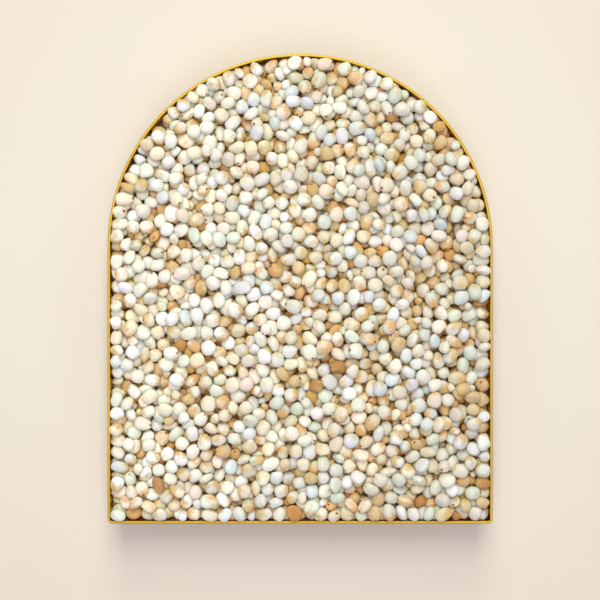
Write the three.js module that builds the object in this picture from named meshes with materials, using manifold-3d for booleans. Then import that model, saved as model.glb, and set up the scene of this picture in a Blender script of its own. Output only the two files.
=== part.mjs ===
// A small arch-shaped dish of pressed, gold-coloured sheet metal, filled to the rim with hulled
// kodo millet. Millimetres, +Z up, the straight end towards -Y and the arch towards +Y.
// The origin is the centre of the dish's outline, on the surface that the dish stands on.

import * as THREE from "three";
import { mergeVertices } from "three/addons/utils/BufferGeometryUtils.js";
import Module from "manifold-3d";

const wasm = await Module();
wasm.setup();

// ---------------------------------------------------------------- driving dimensions

const DISH_WIDTH = 60; // over the rim, side to side
const DISH_LENGTH = 73.2; // from the straight end to the crown of the arch
const DISH_HEIGHT = 12;
const SHEET = 0.4; // thickness of the metal, which is all that the rim shows from above
const WALL_LEAN = 0.6; // how far the wall leans in from the rim to the base
const BASE_RADIUS = 2.4; // outer bend from the wall into the base
const CORNER_RADIUS = 0.7; // the two square corners, in plan

const GRAIN_LENGTH = 2.45; // a hulled kodo millet grain
const GRAIN_WIDTH = 2.05;
const GRAIN_THICKNESS = 1.65;
const GRAIN_PITCH = 2.6; // from one grain of the top layer to the next

const FILL_CLEARANCE = 0.12; // between the millet and the metal
const EDGE_LEVEL = DISH_HEIGHT + 0.2; // the mean level of the grains' backs at the wall
const CROWN = 1.9; // how much higher they are heaped in the middle
const CROWN_REACH = 25; // how far in from the wall it stops rising
const UNDULATION = 0.25; // long, low unevenness of the level
const WAVE_ACROSS = 30; // length of its waves along X, and then along Y
const WAVE_ALONG = 37;

const HOLLOW_DEPTH = 1.15; // from a grain's back down to the hollows round it
const HOLLOW_DRAW = 0.3; // how far each hollow's depth is drawn by chance
const LEVEL_DRAW = 0.75; // spread of the grains' heights
const PLACE_DRAW = 0.27; // how far a grain sits off its even place, as a share of the pitch
const BACK_SHARE = 0.52; // length of a grain's flat back, as a share of the grain
const BACK_ROOM = 0.65; // most that a back may reach of the way to the nearest hollow
const BACK_TILT = 0.28; // slope that a back may have
const LOOSE_PITCH = 12; // between the loose grains on top
const LOOSE_TILT = 0.5; // most that a loose grain leans, in radians
const LOOSE_RISE = 0.15; // a loose grain's middle over the back of the grain that it lies on
const SMALLEST_GRAIN = 0.88; // the loose grains' sizes run from this share to the next
const LARGEST_GRAIN = 1.12;
const SEED = 20;

const BED_TOP = EDGE_LEVEL - HOLLOW_DEPTH; // the level of the hollows at the wall
const SLAB_FOOT = BED_TOP - 1.2; // the underside of the relief, hidden in the bed
const WALL_GAP = SHEET + FILL_CLEARANCE + 0.15; // least depth inside the outline of any grain
const EDGE_DEPTH = WALL_GAP + 0.55; // least depth of a grain's middle, to which it is moved in
const LEFT_OUT_DEPTH = 0.4; // a grain whose even place lies nearer to the outline is left out

const ARCH_STEPS = 48; // segments of the half circle
const CORNER_STEPS = 3;
const BEND_STEPS = 4;
const LIP_STEPS = 4;

// ---------------------------------------------------------------- seeded draws

// Evenly spread numbers from 0 to 1, the same at each run.
function seededDraws(seed) {
  let state = seed >>> 0;
  return () => {
    state = (state + 0x6d2b79f5) >>> 0;
    let mixed = Math.imul(state ^ (state >>> 15), 1 | state);
    mixed = (mixed + Math.imul(mixed ^ (mixed >>> 7), 61 | mixed)) ^ mixed;
    return ((mixed ^ (mixed >>> 14)) >>> 0) / 4294967296;
  };
}

// ---------------------------------------------------------------- the arch outline

const ARCH_RADIUS = DISH_WIDTH / 2;
const ARCH_CENTRE_Y = DISH_LENGTH / 2 - ARCH_RADIUS;
const STRAIGHT_END_Y = -DISH_LENGTH / 2;

// Points of an arc round (x, y), from one angle to another, both ends included.
function arcPoints(x, y, radius, from, to, steps) {
  const points = [];
  for (let i = 0; i <= steps; i++) {
    const angle = from + ((to - from) * i) / steps;
    points.push([x + radius * Math.cos(angle), y + radius * Math.sin(angle)]);
  }
  return points;
}

// The dish's outline drawn in by inset all round, counter-clockwise from the right-hand corner.
// Every inset gives the same number of points, so that one ring can be joined to the next.
function archOutline(inset, cornerRadius) {
  const cornerX = DISH_WIDTH / 2 - inset - cornerRadius;
  const cornerY = STRAIGHT_END_Y + inset + cornerRadius;
  const quarter = Math.PI / 2;
  return [
    ...arcPoints(cornerX, cornerY, cornerRadius, -quarter, 0, CORNER_STEPS),
    ...arcPoints(0, ARCH_CENTRE_Y, ARCH_RADIUS - inset, 0, Math.PI, ARCH_STEPS),
    ...arcPoints(-cornerX, cornerY, cornerRadius, Math.PI, 3 * quarter, CORNER_STEPS),
  ];
}

// How far a point lies inside the outline, negative outside it.
function depthInside(x, y) {
  if (y > ARCH_CENTRE_Y) return ARCH_RADIUS - Math.hypot(x, y - ARCH_CENTRE_Y);
  return Math.min(ARCH_RADIUS - Math.abs(x), y - STRAIGHT_END_Y);
}

// The nearest point to (x, y) that lies at least depth inside the outline.
function keptInside(x, y, depth) {
  const reach = ARCH_RADIUS - depth;
  if (y > ARCH_CENTRE_Y) {
    const share = Math.min(1, reach / Math.hypot(x, y - ARCH_CENTRE_Y));
    return [x * share, ARCH_CENTRE_Y + (y - ARCH_CENTRE_Y) * share];
  }
  return [Math.max(-reach, Math.min(reach, x)), Math.max(STRAIGHT_END_Y + depth, y)];
}

// A closed body from a profile that is carried round the arch, as a lathe carries one round a
// circle. The profile's first and last rings are filled in flat.
function carriedRoundArch(profile) {
  const positions = [];
  const triangles = [];
  const count = archOutline(0, CORNER_RADIUS).length;
  for (const { inset, z, corner } of profile)
    for (const [x, y] of archOutline(inset, corner)) positions.push(x, y, z);
  for (let ring = 0; ring + 1 < profile.length; ring++)
    for (let i = 0; i < count; i++) {
      const here = ring * count + i;
      const next = ring * count + ((i + 1) % count);
      triangles.push(here, next, next + count, here, next + count, here + count);
    }
  const lastRing = (profile.length - 1) * count;
  for (let i = 1; i + 1 < count; i++) {
    triangles.push(0, i + 1, i);
    triangles.push(lastRing, lastRing + i, lastRing + i + 1);
  }
  return indexedGeometry(positions, triangles);
}

// ---------------------------------------------------------------- meshes and solids

function indexedGeometry(positions, triangles) {
  const geometry = new THREE.BufferGeometry();
  geometry.setAttribute("position", new THREE.Float32BufferAttribute(positions, 3));
  geometry.setIndex(triangles);
  return geometry;
}

function solidFrom(geometry) {
  const bare = geometry.clone();
  bare.deleteAttribute("normal");
  bare.deleteAttribute("uv");
  const merged = mergeVertices(bare, 1e-4);
  return new wasm.Manifold(
    new wasm.Mesh({
      numProp: 3,
      vertProperties: merged.attributes.position.array,
      triVerts: new Uint32Array(merged.index.array),
    }),
  );
}

function geometryFrom(solid) {
  const made = solid.getMesh();
  const geometry = indexedGeometry(Array.from(made.vertProperties), Array.from(made.triVerts));
  geometry.computeVertexNormals();
  return geometry;
}

// ---------------------------------------------------------------- the dish

// A quarter bend from the flat into the wall. The start is on the flat.
function bendRings(flatInset, flatZ, radius, corner) {
  const rings = [];
  for (let i = 0; i <= BEND_STEPS; i++) {
    const turn = (Math.PI / 2) * (i / BEND_STEPS);
    rings.push({
      inset: flatInset - radius * Math.sin(turn),
      z: flatZ + radius * (1 - Math.cos(turn)),
      corner,
    });
  }
  return rings;
}

// The rounded lip, over the top of the sheet from its outer face to its inner face.
function lipRings() {
  const rings = [];
  const radius = SHEET / 2;
  for (let i = 0; i <= LIP_STEPS; i++) {
    const turn = Math.PI * (i / LIP_STEPS);
    const inset = radius * (1 - Math.cos(turn));
    rings.push({
      inset,
      z: DISH_HEIGHT - radius + radius * Math.sin(turn),
      corner: CORNER_RADIUS - inset,
    });
  }
  return rings;
}

function makeDish() {
  const outerBend = bendRings(WALL_LEAN + BASE_RADIUS, 0, BASE_RADIUS, CORNER_RADIUS);
  const innerBend = bendRings(
    WALL_LEAN + BASE_RADIUS,
    SHEET,
    BASE_RADIUS - SHEET,
    CORNER_RADIUS - SHEET,
  );
  return carriedRoundArch([...outerBend, ...lipRings(), ...innerBend.reverse()]);
}

// ---------------------------------------------------------------- the millet

// The mean level of the millet: lowest at the wall, gently heaped and uneven inside.
function fillLevel(x, y) {
  const rise = Math.min(Math.max(depthInside(x, y) / CROWN_REACH, 0), 1);
  const waves = Math.sin((x * 2 * Math.PI) / WAVE_ACROSS + 1) * Math.cos((y * 2 * Math.PI) / WAVE_ALONG);
  return EDGE_LEVEL + CROWN * (1 - (1 - rise) ** 2) + UNDULATION * waves * rise;
}

// The millet up to the hollows at its edge: the room inside the dish, drawn in by the clearance.
function milletBed() {
  const bend = bendRings(
    WALL_LEAN + BASE_RADIUS,
    SHEET + FILL_CLEARANCE,
    BASE_RADIUS - SHEET - FILL_CLEARANCE,
    CORNER_RADIUS - SHEET,
  );
  const share = (BED_TOP - BASE_RADIUS) / (DISH_HEIGHT - BASE_RADIUS);
  const inset = SHEET + FILL_CLEARANCE + WALL_LEAN * (1 - share);
  return solidFrom(carriedRoundArch([...bend, { inset, z: BED_TOP, corner: CORNER_RADIUS - SHEET }]));
}

// The grains of the top layer, on a triangular grid that is wider than the dish. Each is moved
// off its even place, raised or lowered, turned and tilted by seeded draws.
function topLayer(draw) {
  const rowPitch = (GRAIN_PITCH * Math.sqrt(3)) / 2;
  const columns = Math.ceil(DISH_WIDTH / GRAIN_PITCH) + 3;
  const rows = Math.ceil(DISH_LENGTH / rowPitch) + 3;
  const grains = [];
  for (let row = 0; row < rows; row++)
    for (let column = 0; column < columns; column++) {
      const evenX = (column - (columns - 1) / 2 + (row % 2) / 2) * GRAIN_PITCH;
      const evenY = (row - (rows - 1) / 2) * rowPitch;
      const shiftX = (draw() - 0.5) * 2 * PLACE_DRAW * GRAIN_PITCH;
      const shiftY = (draw() - 0.5) * 2 * PLACE_DRAW * GRAIN_PITCH;
      const isInside = depthInside(evenX, evenY) > LEFT_OUT_DEPTH;
      const [x, y] = isInside
        ? keptInside(evenX + shiftX, evenY + shiftY, EDGE_DEPTH)
        : [evenX, evenY];
      const z = fillLevel(x, y) + (draw() - 0.5) * LEVEL_DRAW;
      const [slopeX, slopeY] = [(draw() - 0.5) * 2 * BACK_TILT, (draw() - 0.5) * 2 * BACK_TILT];
      grains.push({ x, y, z, isInside, turn: draw() * Math.PI, slopeX, slopeY });
    }
  return { grains, rows, columns };
}

// The threes of neighbours on that grid. A hollow lies in the middle of each.
function neighbourThrees(rows, columns) {
  const at = (row, column) => row * columns + column;
  const threes = [];
  for (let row = 0; row + 1 < rows; row++)
    for (let column = 0; column + 1 < columns; column++) {
      const [a, b] = [at(row, column), at(row, column + 1)];
      const [c, d] = [at(row + 1, column), at(row + 1, column + 1)];
      if (row % 2) threes.push([a, b, d], [a, d, c]);
      else threes.push([a, b, c], [b, d, c]);
    }
  return threes;
}

// The four corners of a grain's flat back, counter-clockwise, none further out than room.
function backCorners({ x, y, z, turn, slopeX, slopeY }, room) {
  const sizes = [GRAIN_LENGTH, GRAIN_WIDTH, GRAIN_LENGTH, GRAIN_WIDTH];
  return sizes.map((size, k) => {
    const reach = Math.min((size / 2) * BACK_SHARE, room);
    const angle = turn + (k * Math.PI) / 2;
    const [dx, dy] = [reach * Math.cos(angle), reach * Math.sin(angle)];
    return [...keptInside(x + dx, y + dy, WALL_GAP), z + dx * slopeX + dy * slopeY];
  });
}

// Triangles between an inner and an outer ring of points round the same middle, both listed
// counter-clockwise. It always steps on along the ring whose next point comes first by angle.
function bridged(inner, outer, angleOf) {
  const unwind = (ring) => {
    const angles = ring.map(angleOf);
    for (let i = 1; i < angles.length; i++)
      while (angles[i] < angles[i - 1]) angles[i] += 2 * Math.PI;
    return [...angles, angles[0] + 2 * Math.PI];
  };
  const start = angleOf(inner[0]);
  const behind = (p) => (angleOf(p) - start + 2 * Math.PI) % (2 * Math.PI);
  const first = outer.reduce((best, p, i) => (behind(p) < behind(outer[best]) ? i : best), 0);
  const turned = outer.map((_, i) => outer[(first + i) % outer.length]);
  const [innerAngles, outerAngles] = [unwind(inner), unwind(turned)];
  const lag = Math.floor((outerAngles[0] - innerAngles[0]) / (2 * Math.PI)) * 2 * Math.PI;
  const triangles = [];
  let [i, o] = [0, 0];
  while (i < inner.length || o < turned.length) {
    const [a, b] = [inner[i % inner.length], turned[o % turned.length]];
    const stepInner =
      o === turned.length || (i < inner.length && innerAngles[i + 1] <= outerAngles[o + 1] - lag);
    if (stepInner) triangles.push([a, b, inner[++i % inner.length]]);
    else triangles.push([a, b, turned[++o % turned.length]]);
  }
  return triangles;
}

// A slab whose top has one flat-backed bump for each grain, its foot in the hollows round it.
function reliefSlab({ grains, rows, columns }, draw) {
  const positions = [];
  const add = (point) => positions.push(...point) / 3 - 1;
  const hollowsRound = grains.map(() => []);
  for (const three of neighbourThrees(rows, columns)) {
    const middle = (key) => three.reduce((sum, g) => sum + grains[g][key] / 3, 0);
    const depth = HOLLOW_DEPTH + (draw() - 0.5) * 2 * HOLLOW_DRAW;
    const hollow = add([...keptInside(middle("x"), middle("y"), WALL_GAP), middle("z") - depth]);
    for (const g of three) hollowsRound[g].push(hollow);
  }
  const top = [];
  grains.forEach((grain, g) => {
    const hollows = hollowsRound[g];
    if (!grain.isInside) return;
    const angleOf = (p) => Math.atan2(positions[3 * p + 1] - grain.y, positions[3 * p] - grain.x);
    hollows.sort((p, q) => angleOf(p) - angleOf(q));
    const nearest = Math.min(
      ...hollows.map((p) => Math.hypot(positions[3 * p] - grain.x, positions[3 * p + 1] - grain.y)),
    );
    const back = backCorners(grain, nearest * BACK_ROOM).map(add);
    top.push([back[0], back[1], back[2]], [back[0], back[2], back[3]]);
    top.push(...bridged(back, hollows, angleOf));
  });
  return closedBelow(positions, top);
}

// Closes a surface into a slab: the same triangles again, flat at its foot, and sides between.
function closedBelow(positions, top) {
  const count = positions.length / 3;
  const all = [...positions];
  for (let i = 0; i < count; i++) all.push(positions[3 * i], positions[3 * i + 1], SLAB_FOOT);
  const triangles = [];
  const edges = new Set();
  for (const [a, b, c] of top) {
    triangles.push(a, b, c, a + count, c + count, b + count);
    edges.add(`${a},${b}`).add(`${b},${c}`).add(`${c},${a}`);
  }
  for (const edge of edges) {
    const [a, b] = edge.split(",").map(Number);
    if (edges.has(`${b},${a}`)) continue;
    triangles.push(b, a, a + count, b, a + count, b + count);
  }
  return solidFrom(indexedGeometry(all, triangles));
}

// One grain with few sides: longer than wide, and a little flattened.
function grainAt(x, y, z, draw) {
  const size = SMALLEST_GRAIN + (LARGEST_GRAIN - SMALLEST_GRAIN) * draw();
  const geometry = new THREE.IcosahedronGeometry(0.5, 0);
  const turn = new THREE.Euler(
    (draw() - 0.5) * 2 * LOOSE_TILT,
    (draw() - 0.5) * 2 * LOOSE_TILT,
    draw() * Math.PI * 2,
    "XYZ",
  );
  const scale = new THREE.Vector3(GRAIN_LENGTH, GRAIN_WIDTH, GRAIN_THICKNESS);
  geometry.applyMatrix4(
    new THREE.Matrix4().compose(
      new THREE.Vector3(x, y, z),
      new THREE.Quaternion().setFromEuler(turn),
      scale.multiplyScalar(size),
    ),
  );
  return solidFrom(geometry);
}

// Loose grains on top, evenly spread, each on the grain that lies nearest to its even place.
function looseGrains({ grains }, draw) {
  const rowPitch = (LOOSE_PITCH * Math.sqrt(3)) / 2;
  const solids = [];
  for (let row = 0; row * rowPitch < DISH_LENGTH; row++)
    for (let column = 0; column * LOOSE_PITCH < DISH_WIDTH; column++) {
      const x = (column + 0.25 + (row % 2) / 2 + 0.5 * draw()) * LOOSE_PITCH - DISH_WIDTH / 2;
      const y = (row + 0.25 + 0.5 * draw()) * rowPitch - DISH_LENGTH / 2;
      const away = (grain) => Math.hypot(grain.x - x, grain.y - y);
      const seat = grains.reduce((best, grain) => (away(grain) < away(best) ? grain : best));
      if (depthInside(seat.x, seat.y) < GRAIN_LENGTH / 2 + SHEET) continue;
      solids.push(grainAt(seat.x, seat.y, seat.z + LOOSE_RISE, draw));
    }
  return solids;
}

function makeMillet() {
  const draw = seededDraws(SEED);
  const layer = topLayer(draw);
  const pieces = [milletBed(), reliefSlab(layer, draw), ...looseGrains(layer, draw)];
  return geometryFrom(pieces.reduce((sum, next) => sum.add(next)));
}

// ---------------------------------------------------------------- the object

const goldMetal = new THREE.MeshStandardMaterial({ color: 0xe2b03a, roughness: 0.3, metalness: 1 });
const millet = new THREE.MeshStandardMaterial({ color: 0xe9dfc6, roughness: 0.6, metalness: 0 });

function named(name, geometry, material) {
  const mesh = new THREE.Mesh(geometry, material);
  mesh.name = name;
  return mesh;
}

const filledDish = new THREE.Group();
filledDish.add(named("dish", makeDish(), goldMetal), named("millet", makeMillet(), millet));

export default filledDish;
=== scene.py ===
"""A shallow arch-shaped dish of gold-coloured sheet metal, heaped with hulled kodo millet.

Metres, +Z up, the straight end towards -Y and the arch towards +Y. The dish stands on z = 0.
"""

import math
from collections import namedtuple
from functools import partial

import bmesh
import bpy
import numpy as np
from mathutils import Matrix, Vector


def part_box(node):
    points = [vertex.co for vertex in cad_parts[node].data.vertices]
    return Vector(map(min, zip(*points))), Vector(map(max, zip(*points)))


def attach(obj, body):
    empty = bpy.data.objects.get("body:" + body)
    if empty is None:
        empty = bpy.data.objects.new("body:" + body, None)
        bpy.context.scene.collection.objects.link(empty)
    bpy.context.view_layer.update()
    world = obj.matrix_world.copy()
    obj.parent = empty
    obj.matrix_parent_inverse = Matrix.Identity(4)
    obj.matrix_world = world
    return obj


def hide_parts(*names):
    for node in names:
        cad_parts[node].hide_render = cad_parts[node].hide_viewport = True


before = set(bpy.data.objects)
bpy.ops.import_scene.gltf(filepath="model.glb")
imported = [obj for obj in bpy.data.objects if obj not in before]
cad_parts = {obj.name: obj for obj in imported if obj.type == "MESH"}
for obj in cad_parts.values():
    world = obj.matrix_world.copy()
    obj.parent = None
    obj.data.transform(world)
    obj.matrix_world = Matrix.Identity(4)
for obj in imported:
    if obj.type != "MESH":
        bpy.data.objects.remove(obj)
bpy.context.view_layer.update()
DISH_LOW, DISH_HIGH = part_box("dish")
MILLET_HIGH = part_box("millet")[1]

bl_info = {
    "name": "Dish of kodo millet",
    "version": (1, 0, 0),
    "blender": (4, 5, 0),
    "location": "3D View > Sidebar > Millet",
    "description": "Builds a pressed metal dish, the millet heaped in it, and a small studio",
    "category": "Object",
}

MM = 0.001
TINY = 1e-12  # keeps a division away from nought


def linear(code):
    """A colour written as six hex digits, as Blender's linear red, green and blue."""
    parts = [int(code[i : i + 2], 16) / 255 for i in (0, 2, 4)]
    return [p / 12.92 if p <= 0.04045 else ((p + 0.055) / 1.055) ** 2.4 for p in parts]


# ---- settings


def number_property(name, description, default, **options):
    return bpy.props.FloatProperty(name=name, description=description, default=default, **options)


def colour_property(name, description, code):
    return bpy.props.FloatVectorProperty(
        name=name, description=description, default=linear(code), min=0, max=1, subtype="COLOR"
    )


length_property = partial(number_property, min=0, unit="LENGTH", precision=5)
place_property = partial(number_property, unit="LENGTH", precision=5)
angle_property = partial(number_property, subtype="ANGLE")
share_property = partial(number_property, min=0, max=1, subtype="FACTOR")
power_property = partial(number_property, min=0, unit="POWER")


class DishSettings(bpy.types.PropertyGroup):
    """Sizes and colours of the metal dish"""

    sheet: length_property("Sheet", "Thickness of the metal", 0.4 * MM)
    wall_lean: length_property("Wall lean", "How far the wall leans in at its foot", 0.6 * MM)
    base_bend: length_property("Base bend", "Outer bend from the wall into the base", 2.4 * MM)
    corner: length_property("Corners", "Radius of the two square corners, in plan", 0.7 * MM)
    metal: colour_property("Metal", "Colour of the gold-coloured metal", "d0a862")
    worn: colour_property("Worn metal", "Colour where the rim is rubbed bright", "bb9830")


class MilletSettings(bpy.types.PropertyGroup):
    """Sizes and colours of the millet"""

    grain_length: length_property("Grain length", "Mean length of a grain", 2.44 * MM)
    grain_width: length_property("Grain width", "Mean width of a grain", 2.06 * MM)
    grain_thickness: length_property("Grain thickness", "Mean thickness of a grain", 1.66 * MM)
    size_spread: share_property("Size spread", "Spread of the grains' sizes", 0.1)
    small_share: share_property("Small share", "Share of small and shrunken grains", 0.12)
    lean: angle_property("Lean", "How far grains lean before they settle", math.radians(30))
    clearance: length_property("Clearance", "Between the millet and the metal", 0.03 * MM)
    edge_rise: length_property("Edge rise", "From the rim up to the grains at the wall", 0.45 * MM)
    crown: length_property("Crown", "How much higher the middle is heaped", 1.6 * MM)
    crown_reach: length_property("Crown reach", "How far in from the wall it rises", 25 * MM)
    undulation: length_property("Undulation", "Long, low unevenness of the heap", 0.25 * MM)
    wave_across: length_property("Wave across", "Length of the long waves along X", 30 * MM)
    wave_along: length_property("Wave along", "Length of the long waves along Y", 37 * MM)
    ripple: length_property("Ripple", "Short unevenness of the heap, a few grains long", 0.6 * MM)
    loose_depth: length_property("Loose depth", "How deep the grains lie over the core", 4.3 * MM)
    packing: share_property("Packing", "Share of that depth that the grains fill", 0.69)
    fillet: length_property("Fillet", "How far in from the wall the core rises", 1.8 * MM)
    seed: bpy.props.IntProperty(name="Seed", description="Picks another heap", default=7)
    ivory: colour_property("Ivory", "Polished white grains", "fefcf6")
    pearl: colour_property("Pearl", "Glassy, faintly green grains", "f3f8f0")
    cream: colour_property("Cream", "Cream-coloured grains", "fcf7e8")
    straw: colour_property("Straw", "Grains that keep a thin skin", "f8f0da")
    golden: colour_property("Golden", "Grains that keep their bran", "ecd4a8")
    amber: colour_property("Amber", "The few unpolished grains", "cf9a5a")
    bran: colour_property("Bran", "The tan left at a grain's germ end", "d7b172")
    hilum: colour_property("Hilum", "The small dark spot of a grain", "7d4420")
    # painted shade: the core's colour is dim and brown for the shade far down between the grains
    depths: colour_property("Depths", "The core, far down between the grains", "bd9a66")


class StudioSettings(bpy.types.PropertyGroup):
    """The floor, the lights and the camera"""

    floor: colour_property("Floor", "Colour of the floor", "e1dac5")
    floor_side: length_property("Floor side", "Width of the floor", 4.0)
    view_side: length_property("View side", "What the picture spans at the rim", 93.48 * MM)
    camera_height: length_property("Camera height", "From the rim to the camera", 260 * MM)
    camera_x: place_property("Camera X", "The picture's middle, across", -0.02 * MM)
    camera_y: place_property("Camera Y", "The picture's middle, along", -1.76 * MM)
    panel_width: length_property("Panel width", "Width of both soft lights", 0.2)
    key_length: length_property("Key length", "Length of the soft box", 0.6)
    key_distance: length_property("Key distance", "From the dish to the soft box", 0.6)
    key_power: power_property("Key power", "Power of the soft box", 2.0)
    top_length: length_property("Top length", "Length of the panel overhead", 0.8)
    top_height: length_property("Top height", "From the floor to the panel overhead", 0.7)
    top_power: power_property("Top power", "Power of the panel overhead", 2.86)
    sky: number_property("Sky", "Strength of the even light all round", 0.38, min=0)


# ---- the outline of the dish


class Arch:
    """The outline seen from above: straight sides and one straight end under a half circle."""

    def __init__(self, low, high):
        self.radius = (high[0] - low[0]) / 2
        self.centre_y = high[1] - self.radius
        self.end_y = low[1]

    def depth(self, x, y):
        """How far points lie inside the outline."""
        in_arch = self.radius - np.hypot(x, y - self.centre_y)
        in_straight = np.minimum(self.radius - np.abs(x), y - self.end_y)
        return np.where(y > self.centre_y, in_arch, in_straight)

    def ways_in(self, x, y):
        """The ways from points straight away from the side of the outline, and from its end."""
        still = np.zeros(len(x))
        to_centre = unit(np.stack([-x, self.centre_y - y, still], 1))
        to_middle = np.stack([-np.sign(x), still, still], 1)
        from_side = np.where((y > self.centre_y)[:, None], to_centre, to_middle)
        return from_side, np.tile([0.0, 1.0, 0.0], (len(x), 1))

    def depths_in(self, x, y):
        """How far points lie from the side of the outline, and from its end."""
        from_middle = np.where(y > self.centre_y, np.hypot(x, y - self.centre_y), np.abs(x))
        return self.radius - from_middle, y - self.end_y

    def ring(self, inset, corner, step):
        """The outline drawn in by inset, anticlockwise, with about one step from point to point."""
        side = self.radius - inset
        foot = self.end_y + inset
        quarter = math.pi / 2
        corner_count = 8
        arch_count = round(math.pi * self.radius / step)
        side_count = round((self.centre_y - self.end_y) / step)
        end_count = round(2 * self.radius / step)

        def arc(x, y, radius, start, stop, count):
            angles = np.linspace(start, stop, count + 1)
            return np.stack([x + radius * np.cos(angles), y + radius * np.sin(angles)], 1)

        def between(start, stop, count):
            return np.linspace(start, stop, count + 1)[1:-1]

        right = arc(side - corner, foot + corner, corner, -quarter, 0, corner_count)
        crown = arc(0, self.centre_y, side, 0, math.pi, arch_count)
        left = arc(corner - side, foot + corner, corner, math.pi, 3 * quarter, corner_count)
        return np.concatenate(
            [
                right,
                between(right[-1], crown[0], side_count),
                crown,
                between(crown[-1], left[0], side_count),
                left,
                between(left[-1], right[0], end_count),
            ]
        )


Ring = namedtuple("Ring", "inset z corner")


def bend_rings(inset, z, radius, corner, count):
    """A quarter bend from a flat base into the wall. The first ring is on the flat."""
    turns = np.linspace(0, math.pi / 2, count + 1)
    return [
        Ring(inset - radius * math.sin(t), z + radius * (1 - math.cos(t)), corner) for t in turns
    ]


def swept_mesh(name, rings, arch, step, height_at=None):
    """A closed mesh through a row of rings, with its first and last ring filled in.

    height_at gives the height of a point on a ring that has no height of its own.
    """
    mesh = bmesh.new()
    loops = []
    for ring in rings:
        points = arch.ring(ring.inset, ring.corner, step)
        heights = np.full(len(points), ring.z) if ring.z is not None else height_at(*points.T)
        loops.append([mesh.verts.new((x, y, z)) for (x, y), z in zip(points, heights)])
    for below, above in zip(loops, loops[1:]):
        count = len(below)
        for i in range(count):
            after = (i + 1) % count
            mesh.faces.new((below[i], below[after], above[after], above[i]))
    mesh.faces.new(loops[0][::-1])
    mesh.faces.new(loops[-1])
    for face in mesh.faces:
        face.smooth = True
    data = bpy.data.meshes.new(name)
    mesh.to_mesh(data)
    mesh.free()
    return data


def placed(name, data, material, slot, *nodes):
    """An object of the dish that stands in for CAD nodes and takes the finish that it is given. The
    slot is not used.
    """
    made = bpy.data.objects.new(name, data)
    bpy.context.scene.collection.objects.link(made)
    data.materials.append(material)
    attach(made, "root")
    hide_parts(*nodes)
    return made


def lip_rings(sheet, height, corner, count):
    """The cut edge of the sheet, flat on top, with its outer and inner edges rounded off."""
    radius = LIP_ROUND * sheet
    turns = np.linspace(0, math.pi / 2, count + 1)
    outer = [(radius * (1 - math.cos(t)), height - radius * (1 - math.sin(t))) for t in turns]
    inner = [(sheet - inset, z) for inset, z in reversed(outer)]
    return [Ring(inset, z, corner - inset) for inset, z in outer + inner]


def dish_mesh(settings, arch):
    """The dish: flat base, bend, leaning wall and lip, and the same again on the inside."""
    foot_inset = settings.wall_lean + settings.base_bend
    inner_corner = settings.corner - settings.sheet
    inner_bend = settings.base_bend - settings.sheet
    outside = bend_rings(foot_inset, 0, settings.base_bend, settings.corner, BEND_STEPS)
    inside = bend_rings(foot_inset, settings.sheet, inner_bend, inner_corner, BEND_STEPS)
    lip = lip_rings(settings.sheet, DISH_HIGH.z, settings.corner, LIP_STEPS)
    return swept_mesh("dish_shell", [*outside, *lip, *inside[::-1]], arch, DISH_STEP)


BEND_STEPS = 12
LIP_STEPS = 5  # round each edge of the lip
LIP_ROUND = 0.28  # radius of its edges, as a share of the sheet
DISH_STEP = 1.5 * MM  # along the rim, from point to point


# ---- the heap's surface


class Heap:
    """The millet's mean surface, and the core under the loose grains."""

    def __init__(self, arch, dish, millet):
        self.arch, self.dish, self.millet = arch, dish, millet
        self.edge_level = DISH_HIGH.z + millet.edge_rise

    def level(self, x, y):
        """The mean height of the heap: lowest at the wall, and uneven inside."""
        millet = self.millet
        rise = np.clip(self.arch.depth(x, y) / millet.crown_reach, 0, 1)
        across = np.sin(x * 2 * np.pi / millet.wave_across + WAVE_PHASE)
        along = np.cos(y * 2 * np.pi / millet.wave_along)
        crown = millet.crown * (1 - (1 - rise) ** 2)
        uneven = millet.undulation * across * along + millet.ripple * ripples(x, y)
        return self.edge_level + crown + uneven * np.minimum(rise * RIPPLE_ONSET, 1)

    def core_top(self, x, y):
        """The height of the core. It rises a little at the wall."""
        near = np.clip(1 - self.arch.depth(x, y) / self.millet.fillet, 0, 1)
        return self.level(x, y) - self.millet.loose_depth * (1 - FILLET_RISE * near**2)

    def upright(self, x, y):
        """The direction square to the heap's surface."""
        step = 0.05 * MM
        slope_x = (self.level(x + step, y) - self.level(x - step, y)) / (2 * step)
        slope_y = (self.level(x, y + step) - self.level(x, y - step)) / (2 * step)
        return unit(np.stack([-slope_x, -slope_y, np.ones(len(x))], 1))

    def wall_inset(self, z):
        """How far the room for the grains is drawn in from the outline at a height."""
        dish = self.dish
        rise = np.clip((z - dish.base_bend) / (DISH_HIGH.z - dish.base_bend), 0, 1)
        return dish.sheet + self.millet.clearance + dish.wall_lean * (1 - rise)


FILLET_RISE = 0.8  # how far the core rises at the wall, as a share of the depth over it
RIPPLE_ONSET = 6  # how soon from the wall the unevenness begins
WAVE_PHASE = 1.0  # sets the long waves off the middle
# The short waves that cross in the heap: how long each is, and the angle at which it runs.
RIPPLES = ((8.3 * MM, 0.3), (6.9 * MM, 1.5), (9.6 * MM, 2.5))


def ripples(x, y):
    """Uneven humps and hollows, between -1 and 1."""
    waves = [
        np.sin(2 * np.pi / length * (x * math.cos(angle) + y * math.sin(angle)) + phase)
        for phase, (length, angle) in enumerate(RIPPLES)
    ]
    return sum(waves) / len(waves)


# ---- settling the grains


def unit(vectors):
    return vectors / np.maximum(np.linalg.norm(vectors, axis=1), TINY)[:, None]


def dots(a, b):
    return (a * b).sum(1)


def summed(index, vectors, count):
    """Adds up the vectors that share an index."""
    return np.stack([np.bincount(index, column, count) for column in vectors.T], 1)


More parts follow.
